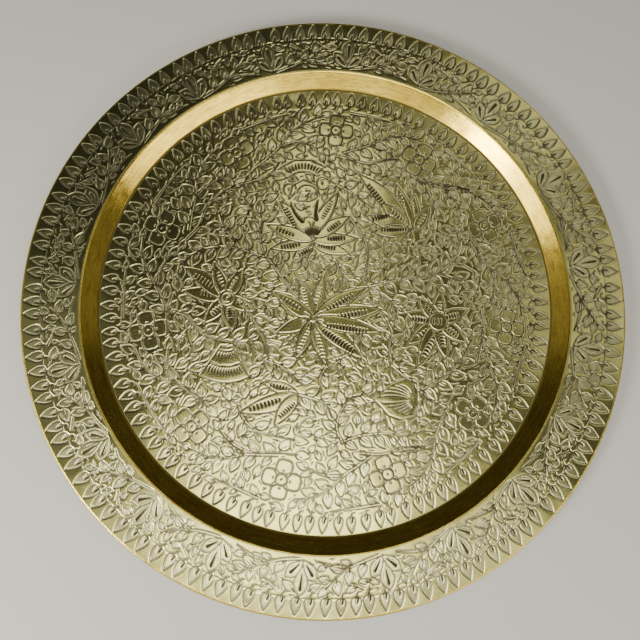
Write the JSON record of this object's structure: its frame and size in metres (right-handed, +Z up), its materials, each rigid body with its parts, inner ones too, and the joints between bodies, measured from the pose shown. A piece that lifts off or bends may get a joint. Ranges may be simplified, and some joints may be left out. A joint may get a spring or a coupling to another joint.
{
  "type": "brass tray",
  "caption": "Round shallow brass tray: flat engraved floor, low sloping wall and wide flat rim with a wire-stiffened rolled edge.",
  "frame": {"origin": "middle of the floor's underside, on the surface that the tray rests on", "axes": "+Z up, along the tray's axis of symmetry; +X to the right as the engraving is read, +Y away from the reader"},
  "size_m": [0.58, 0.58, 0.0139],
  "materials": {
    "sheet": "hand-engraved face, satin with polished wall, light tarnish",
    "wire": "plain drawn wire"
  },
  "bodies": {
    "root": {"tray_sheet": "sheet", "edge_wire": "wire"}
  },
  "joints": []
}
